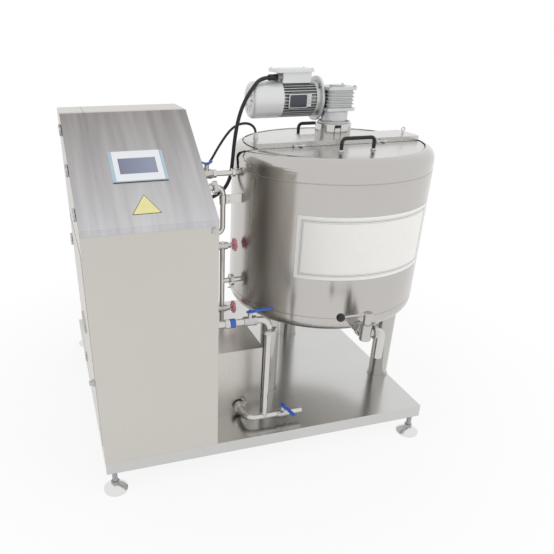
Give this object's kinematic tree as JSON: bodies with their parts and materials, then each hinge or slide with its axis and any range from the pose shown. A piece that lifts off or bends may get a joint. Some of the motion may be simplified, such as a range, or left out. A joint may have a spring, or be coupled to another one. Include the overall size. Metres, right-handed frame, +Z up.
{
  "type": "tank pasteurizer",
  "caption": "Tank pasteurizer on a sheet tray: round jacketed vat with hinged half lids and geared agitator, control cabinet with sloping console, water box and valved pipework.",
  "frame": {"origin": "on the floor, in the middle of the machine's outline seen from above", "axes": "+X from the cabinet to the tank, +Y from the outlet side to the back, +Z up"},
  "size_m": [1.829, 1.6658, 1.798],
  "materials": {
    "satin_stainless": "satin brushed",
    "bright_stainless": "bright polished",
    "cast_aluminium": "cast, silver lacquer",
    "zinc_steel": "zinc plated",
    "blue_vinyl": "moulded",
    "pink_plastic": "moulded",
    "black_plastic": "moulded",
    "grey_plastic": "moulded",
    "screen": "smooth",
    "black_rubber": "matt",
    "white_silicone": "matt",
    "white_plastic": "moulded"
  },
  "bodies": {
    "machine": {"angle_valves": "bright_stainless", "ball_valves": "bright_stainless", "base_tray": "satin_stainless", "bridge_beam": "bright_stainless", "bypass_pipe": "bright_stainless", "cabinet_shell": "satin_stainless", "cable_glands": "black_plastic", "clamp_gaskets": "black_rubber", "console_hinges": "satin_stainless", "console_latch": "bright_stainless", "control_gear": "satin_stainless", "drive_bolts": "zinc_steel", "fan_cowl": "cast_aluminium", "foot_stems": "satin_stainless", "gearbox_housing": "cast_aluminium", "inner_vessel": "satin_stainless", "jacket_return": "bright_stainless", "jacket_riser": "bright_stainless", "leveling_feet": "bright_stainless", "lid_gasket": "white_silicone", "lid_hinges": "satin_stainless", "motor_body": "cast_aluminium", "motor_cable": "black_rubber", "motor_flange": "cast_aluminium", "motor_stand": "bright_stainless", "outlet_cock": "bright_stainless", "outlet_nut": "bright_stainless", "outlet_spout": "bright_stainless", "outlet_stub": "satin_stainless", "pipe_bracket": "satin_stainless", "pipe_clamps": "bright_stainless", "probe_cable": "black_rubber", "return_pipe": "bright_stainless", "shaft_seal": "white_plastic", "side_door_hinges": "satin_stainless", "supply_pipe": "bright_stainless", "tank_jacket": "satin_stainless", "tank_legs": "satin_stainless", "temperature_probe": "white_plastic", "terminal_box": "cast_aluminium", "tray_stiffeners": "satin_stainless", "water_box": "satin_stainless"},
    "side_door": {"side_door": "satin_stainless", "side_door_latch": "bright_stainless"},
    "console_door": {"console_door": "satin_stainless", "touch_panel_bezel": "grey_plastic", "touch_panel_screen": "screen"},
    "lid_front": {"lid_front": "satin_stainless", "lid_front_handle": "black_plastic"},
    "lid_rear": {"lid_rear": "satin_stainless", "lid_rear_handle": "black_plastic"},
    "agitator": {"agitator_shaft": "bright_stainless", "agitator_anchor": "bright_stainless"},
    "outlet_lever": {"outlet_lever": "bright_stainless", "outlet_knob": "black_plastic"},
    "supply_lever": {"supply_valve_lever": "blue_vinyl"},
    "drain_lever": {"drain_valve_lever": "blue_vinyl"},
    "return_handle": {"return_valve_handle": "blue_vinyl"},
    "upper_wheel": {"upper_handwheel": "pink_plastic"},
    "lower_wheel": {"lower_handwheel": "pink_plastic"}
  },
  "joints": [
    {"name": "side_door_hinge", "type": "hinge", "parent": "machine", "child": "side_door", "pos_m": [-0.8948, -0.064, 0.711], "axis": [0, 0, -1], "range_deg": [0, 110]},
    {"name": "console_door_hinge", "type": "hinge", "parent": "machine", "child": "console_door", "pos_m": [-0.8948, -0.49308, 1.46833], "axis": [0, -0.8335, -0.5525], "range_deg": [0, 105]},
    {"name": "lid_front_hinge", "type": "hinge", "parent": "machine", "child": "lid_front", "pos_m": [0.4175, -0.2773, 1.474], "axis": [-1, 0, 0], "range_deg": [0, 65]},
    {"name": "lid_rear_hinge", "type": "hinge", "parent": "machine", "child": "lid_rear", "pos_m": [0.4175, -0.0727, 1.474], "axis": [1, 0, 0], "range_deg": [0, 35]},
    {"name": "agitator_spin", "type": "hinge", "parent": "machine", "child": "agitator", "pos_m": [0.4175, -0.175, 0.741], "axis": [0, 0, 1], "continuous": true},
    {"name": "outlet_lever_turn", "type": "hinge", "parent": "machine", "child": "outlet_lever", "pos_m": [0.3635, -0.801, 0.80372], "axis": [0, 0, 1], "range_deg": [0, 90]},
    {"name": "supply_lever_turn", "type": "hinge", "parent": "machine", "child": "supply_lever", "pos_m": [-0.1665, -0.671, 0.83], "axis": [0, 0, -1], "range_deg": [0, 90]},
    {"name": "drain_lever_turn", "type": "hinge", "parent": "machine", "child": "drain_lever", "pos_m": [0.0285, -0.671, 0.275], "axis": [0, 0, 1], "range_deg": [0, 80]},
    {"name": "return_handle_turn", "type": "hinge", "parent": "machine", "child": "return_handle", "pos_m": [-0.2385, -0.2, 1.396], "axis": [0, 0, -1], "range_deg": [0, 90]},
    {"name": "upper_wheel_turn", "type": "hinge", "parent": "machine", "child": "upper_wheel", "pos_m": [-0.1075, -0.25, 1.005], "axis": [1, 0, 0], "range_deg": [0, 720]},
    {"name": "lower_wheel_turn", "type": "hinge", "parent": "machine", "child": "lower_wheel", "pos_m": [-0.1075, -0.25, 0.658], "axis": [1, 0, 0], "range_deg": [0, 720]}
  ]
}
